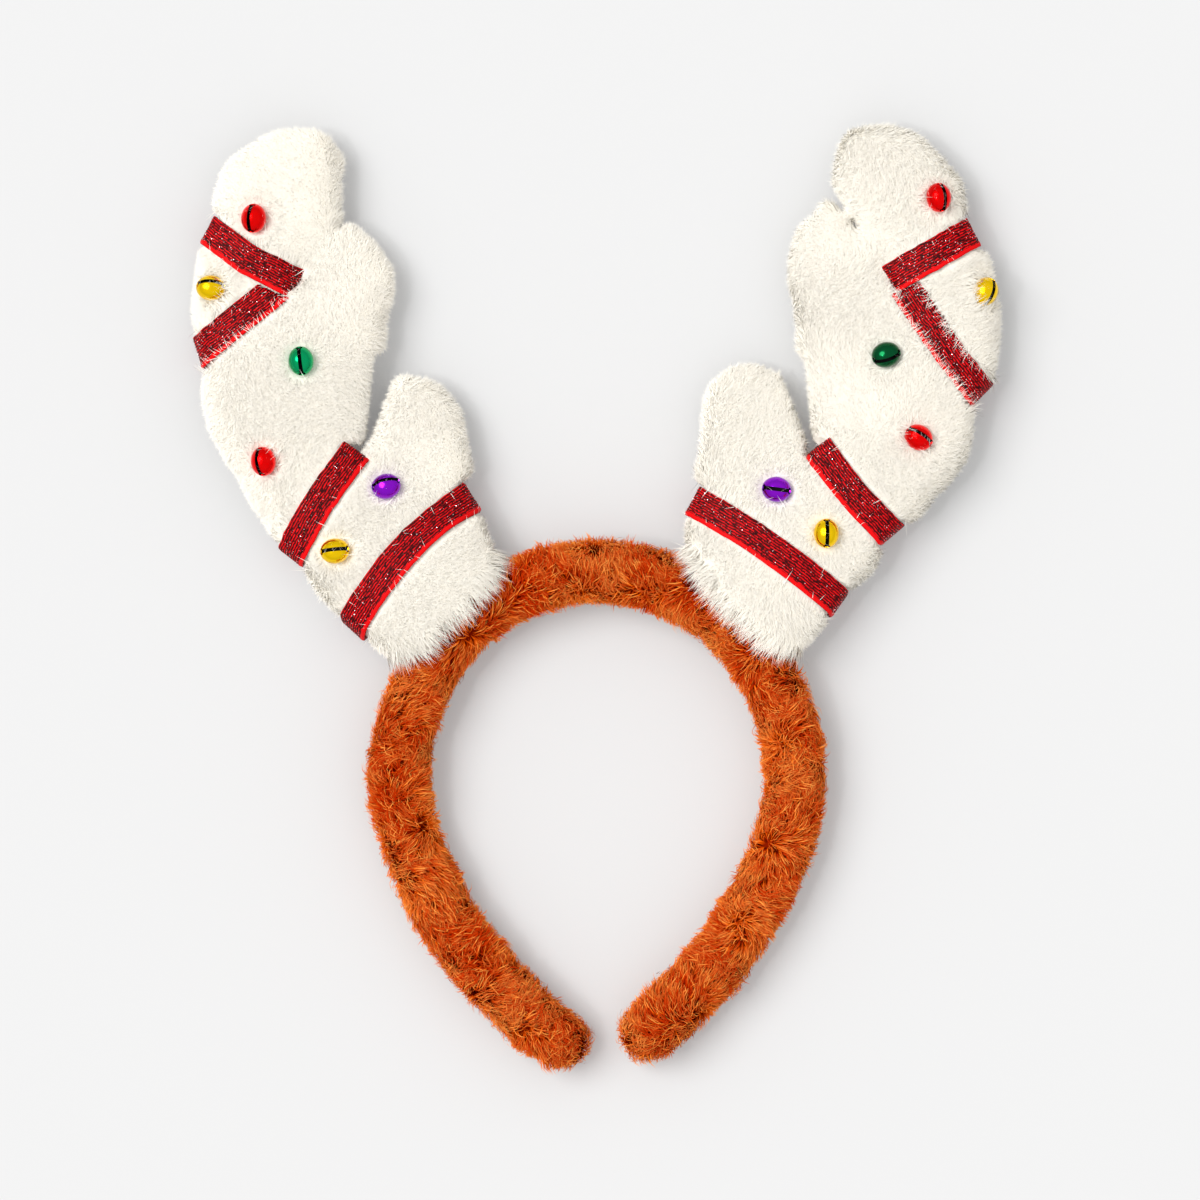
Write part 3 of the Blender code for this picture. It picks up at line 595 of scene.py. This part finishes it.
def ribbon_edges(node):
    """The four long edges of a ribbon's solid: outer low, outer high, inner low, inner high."""
    shape = bmesh.new()
    shape.from_mesh(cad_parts[node].data)
    bmesh.ops.remove_doubles(shape, verts=shape.verts, dist=0.00001)
    points = np.array([vertex.co[:] for vertex in shape.verts])
    shape.free()
    middle = (points.min(0) + points.max(0)) / 2
    flat = points[:, :2] - points[:, :2].mean(0)
    along = np.linalg.svd(flat, full_matrices=False)[2][0]
    across = np.array([-along[1], along[0]])
    if across[1] < 0:
        across = -across
    run = (points[:, :2] - middle[:2]) @ along
    width = (points[:, :2] - middle[:2]) @ across
    rise = points[:, 2] - middle[2]
    turn = np.arctan2(rise / np.abs(rise).max(), run / np.abs(run).max()) % (2 * math.pi)
    order = np.argsort(turn)
    gaps = np.diff(np.concatenate([turn[order], [turn[order[0]] + 2 * math.pi]]))
    breaks = np.sort(np.argsort(gaps)[-RIBBON_STEPS:])
    order = np.roll(order, -(breaks[0] + 1))
    sizes = np.diff(np.concatenate([breaks, [breaks[0] + len(points)]]))
    rows = {"outer": [[], []], "inner": [[], []]}
    start = 0
    for size in sizes:
        group = order[start:start + size]
        start += size
        group = group[np.argsort(width[group])]
        for place, half in enumerate((group[:2], group[2:])):
            reach = np.hypot(run[half], rise[half] * 1.3)
            rows["outer"][place].append(points[half[np.argmax(reach)]])
            rows["inner"][place].append(points[half[np.argmin(reach)]])
    return [np.array(row) for row in (*rows["outer"], *rows["inner"])]


def closed_curve(points, count):
    """A smooth closed curve through the points, at evenly spaced places."""
    steps = len(points)
    place = np.arange(count) * steps / count
    index = place.astype(int)
    share = (place - index)[:, None]
    before, start = points[(index - 1) % steps], points[index % steps]
    end, after = points[(index + 1) % steps], points[(index + 2) % steps]
    cubic = 3 * (start - end) + after - before
    square = 2 * before - 5 * start + 4 * end - after
    return start + 0.5 * share * (end - before + share * (square + share * cubic))


def tuck_in(edges, way):
    """Run a ribbon's inner end a little under the ribbon above it. It lies towards +X where way is 1."""
    everything = np.concatenate(edges)
    far = (everything[:, 0] * way).max() - RIBBON_TUCK_ZONE
    for edge in edges:
        inner = edge[:, 0] * way > far
        along = edge[inner].mean(0) - edge.mean(0) if inner.any() else np.zeros(3)
        along[2] = 0
        along /= max(np.linalg.norm(along), 1e-9)
        edge[inner] += along * RIBBON_TUCK - np.array([0, 0, RIBBON_TUCK / 3])


def glitter_flecks(low, high, outward, start, draw):
    """Small squares that stand at random angles on a ribbon. Their points are numbered from start."""
    flecks, corners = [], []
    for _ in range(FLECKS):
        step = draw.integers(len(low))
        share = draw.uniform(SATIN_SHARE + 0.02, 0.95)
        spot = low[step] * (1 - share) + high[step] * share
        spot = spot + outward[step] * draw.uniform(0.00008, 0.00020)
        tilt = normalized(outward[step][None] + draw.normal(0, 0.55, (1, 3)))[0]
        first = normalized(np.cross(tilt, draw.normal(size=3))[None])[0]
        second = np.cross(tilt, first)
        reach = FLECK_SIZE * draw.uniform(0.6, 1.3)
        base = start + len(flecks)
        flecks += [spot + way * reach for way in (first, second, -first, -second)]
        corners.append([base, base + 1, base + 2, base + 3])
    return flecks, corners


def build_ribbon(node, materials, draw):
    """A knit ribbon with raised lines, a satin border, wavy edges and glitter flecks."""
    edges = ribbon_edges(node)
    if node.endswith("_2"):
        tuck_in(edges, -1 if "right" in node else 1)
    around, columns = RIBBON_AROUND, RIBBON_COLUMNS
    low, high, under_low, under_high = [closed_curve(edge, around) for edge in edges]
    breadth = normalized(high - low)
    for edge in (low, high):
        edge += breadth * smooth_noise(edge, EDGE_WAVE, draw, 1) * EDGE_REACH
    outward = normalized((low - under_low) + (high - under_high))
    shares = np.linspace(0, 1, columns + 1)
    grid = []
    for index, share in enumerate(shares):
        line = 0.00006 * (1 if index % 2 else -1) if SATIN_SHARE < share < 0.97 else 0.00008
        edge = -0.00030 * (1 - min(share, 1 - share) / 0.06) if min(share, 1 - share) < 0.06 else 0.0
        wave = 0.00005 * draw.normal(size=(around, 1))
        grid.append(low * (1 - share) + high * share + outward * (line + edge + wave))
    grid.append(under_high)
    grid.append(under_low)
    rows = len(grid)
    points = np.stack(grid, 1).reshape(-1, 3)
    corners, kinds = [], []
    for step in range(around):
        following = (step + 1) % around
        for row in range(rows):
            beside = (row + 1) % rows
            corners.append([
                step * rows + row, following * rows + row,
                following * rows + beside, step * rows + beside,
            ])
            kinds.append(1 if row < columns and shares[row] < SATIN_SHARE - 0.01 else 0)
    lengths = np.linalg.norm(np.roll(low, -1, 0) - low, axis=1)
    travelled = np.concatenate([[0], np.cumsum(lengths)[:-1]])
    across = np.concatenate([shares, [1.05, -0.05]])
    coordinates = np.stack([
        np.repeat(travelled, rows) * 8, np.tile(across * 0.9 + 0.05, around),
    ], 1)
    flecks, fleck_corners = glitter_flecks(low, high, outward, len(points), draw)
    kinds += [2] * FLECKS
    points = np.concatenate([points, flecks])
    points[:, 2] = np.maximum(points[:, 2], 0.0001)
    fleck_map = np.repeat(draw.uniform(0.1, 0.9, (FLECKS, 2)), 4, axis=0)
    coordinates = np.concatenate([coordinates, fleck_map])
    corners = np.array(corners + fleck_corners)
    mesh = mesh_of(node + "_knit", points, corners.ravel(), np.full(len(corners), 4))
    set_map(mesh, coordinates)
    add_piece(node + "_knit", mesh, materials, [node])
    mesh.polygons.foreach_set("material_index", np.array(kinds, np.int32))


# Bells

def bell_points(length, width, slit, slit_end, turns, tilts):
    """Rows of points round a bell whose slit runs along X over its top."""
    rows = []
    middle = len(tilts) // 2
    for row, tilt in enumerate(tilts):
        points = []
        for turn in turns:
            angle = math.radians(abs((turn + 180) % 360 - 180))
            lean = math.radians(tilt)
            if row in (middle - 1, middle):
                past = abs(math.degrees(angle) - (SLIT_REACH - SLIT_ROUND)) / SLIT_ROUND
                half = slit / 2 + (slit_end - slit) / 2 * math.sqrt(max(0.0, 1 - past * past))
                if math.degrees(angle) > SLIT_REACH:
                    half = slit / 2 * 0.6
                lean = math.copysign(math.asin(half / (width / 2)), tilt)
            spin = math.radians(turn)
            points.append((
                length / 2 * math.cos(lean) * math.sin(spin),
                width / 2 * math.sin(lean),
                width / 2 * math.cos(lean) * math.cos(spin),
            ))
        rows.append(points)
    return rows


def bell_shape():
    """A bell with a wall, open along its slit. Faces of its inside have the second material, a
    near-black painted shade.
    """
    turns = [BELL_STEP * side - SLIT_REACH for side in range(360 // BELL_STEP)]
    tilts = [-84, -74, -62, -50, -38, -27, -18, -1, 1, 18, 27, 38, 50, 62, 74, 84]
    middle, around, last = len(tilts) // 2, len(turns), 2 * SLIT_REACH // BELL_STEP
    shape = bmesh.new()
    skins = []
    for wall in (0.0, BELL_WALL):
        length, width = BELL_LENGTH - 2 * wall, BELL_WIDTH - 2 * wall
        rows = bell_points(length, width, BELL_SLIT, BELL_SLIT_END, turns, tilts)
        grid = [[shape.verts.new(point) for point in row] for row in rows]
        half = BELL_WIDTH / 2 - wall
        skins.append((grid, (shape.verts.new((0, -half, 0)), shape.verts.new((0, half, 0)))))
    for grid, poles in skins:
        for row in range(len(tilts) - 1):
            for side in range(around):
                if row == middle - 1 and side < last:
                    continue
                beside = (side + 1) % around
                shape.faces.new((
                    grid[row][side], grid[row][beside], grid[row + 1][beside], grid[row + 1][side],
                ))
        for side in range(around):
            beside = (side + 1) % around
            shape.faces.new((poles[0], grid[0][beside], grid[0][side]))
            shape.faces.new((poles[1], grid[-1][side], grid[-1][beside]))
    outer, inner = skins[0][0], skins[1][0]
    rim = [(middle - 1, side) for side in range(last + 1)]
    rim += [(middle, side) for side in range(last, -1, -1)]
    for (row, side), (next_row, next_side) in zip(rim, rim[1:] + rim[:1]):
        shape.faces.new((
            outer[row][side], outer[next_row][next_side], inner[next_row][next_side], inner[row][side],
        ))
    bmesh.ops.recalc_face_normals(shape, faces=shape.faces)
    # The inner wall's faces take the near-black painted shade.
    dark = {vertex for row in inner for vertex in row} | set(skins[1][1])
    for face in shape.faces:
        face.material_index = int(all(vertex in dark for vertex in face.verts))
    return shape


def build_bell(node, materials):
    turn, sideways, lengthways, colour, _ = BELLS[node]
    lowest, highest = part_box(node)
    matrix = Matrix.Translation((lowest + highest) / 2)
    for angle, axis in ((turn, "Z"), (sideways, "X"), (lengthways, "Y")):
        matrix = matrix @ Matrix.Rotation(math.radians(angle), 4, axis)
    shape = bell_shape()
    bmesh.ops.transform(shape, matrix=matrix, verts=shape.verts)
    mesh = bpy.data.meshes.new(node + "_shell")
    shape.to_mesh(mesh)
    shape.free()
    mesh.shade_smooth()
    mesh.set_sharp_from_angle(angle=math.radians(50))
    add_piece(node + "_shell", mesh, [materials[colour], materials["inside"]], [node])


# Stage

def build_stage():
    mesh = mesh_of("floor", [(-3, -3, 0), (3, -3, 0), (3, 3, 0), (-3, 3, 0)], [0, 1, 2, 3], [4])
    floor = bpy.data.objects.new("floor", mesh)
    bpy.context.scene.collection.objects.link(floor)
    material, *_, shader = new_material("floor", 0.9)
    shader.inputs["Base Color"].default_value = (0.53, 0.53, 0.53, 1)
    shader.inputs["Emission Color"].default_value = (1, 1, 1, 1)
    shader.inputs["Emission Strength"].default_value = 0.165
    shader.inputs["Specular IOR Level"].default_value = 0.0
    mesh.materials.append(material)

    world = bpy.data.worlds.new("studio")
    bpy.context.scene.world = world
    world.use_nodes = True
    nodes, links = world.node_tree.nodes, world.node_tree.links
    place = nodes.new("ShaderNodeTexCoord")
    parts = nodes.new("ShaderNodeSeparateXYZ")
    links.new(place.outputs["Generated"], parts.inputs[0])
    sky = ramp(nodes, [(0.0, (0.80, 0.80, 0.80)), (0.30, (0.85, 0.85, 0.85)), (0.60, (1.0, 1.0, 1.0))])
    links.new(parts.outputs["Z"], sky.inputs["Fac"])
    links.new(sky.outputs["Color"], nodes["Background"].inputs["Color"])
    nodes["Background"].inputs["Strength"].default_value = 0.84

    for name, energy, angle, way in (
        ("key", 1.9, 36, (0.60, -0.25, -1.0)),
        ("glint", 0.30, 3, (0.45, 0.10, -1.0)),
    ):
        lamp = bpy.data.lights.new(name, "SUN")
        lamp.energy = energy
        lamp.angle = math.radians(angle)
        light = bpy.data.objects.new(name, lamp)
        bpy.context.scene.collection.objects.link(light)
        light.rotation_euler = Vector(way).to_track_quat("-Z", "Y").to_euler()

    camera = bpy.data.objects.new("camera", bpy.data.cameras.new("camera"))
    bpy.context.scene.collection.objects.link(camera)
    camera.data.lens = CAMERA_LENS
    camera.location = CAMERA_SPOT
    bpy.context.scene.camera = camera
    bpy.context.scene.view_settings.view_transform = "Standard"


def build_scene():
    plush = make_plush_materials()
    build_cover(plush["brown"])
    for side in SIDES:
        build_antler(side, plush["white"])
    fleck, *_, shader = new_material("glitter_fleck", 0.30, 1.0)
    shader.inputs["Base Color"].default_value = (1.0, 0.72, 0.72, 1)
    ribbon_materials = [knit_material(), satin_material(), fleck]
    draw = np.random.default_rng(31)
    for node in RIBBON_NAMES:
        build_ribbon(node, ribbon_materials, draw)
    bell_materials = {
        "red": bell_material("red", (0.88, 0.0003, 0.0005), 0.16),
        "gold": bell_material("gold", (0.97, 0.62, 0.002), 0.16),
        "green": bell_material("green", (0.001, 0.36, 0.12), 0.16),
        # A darker copy of the green bell colour.
        "dark green": bell_material("green_darker_copy", (0.001, 0.085, 0.025), 0.16),
        "purple": bell_material("purple", (0.27, 0.006, 0.62), 0.16),
    }
    # Near black inside the bells: painted shade.
    bell_materials["inside"], *_, inside = new_material("bell_painted_shade_inside", 0.8)
    inside.inputs["Base Color"].default_value = (0.01, 0.008, 0.008, 1)
    for node in BELLS:
        build_bell(node, bell_materials)
    build_stage()


build_scene()
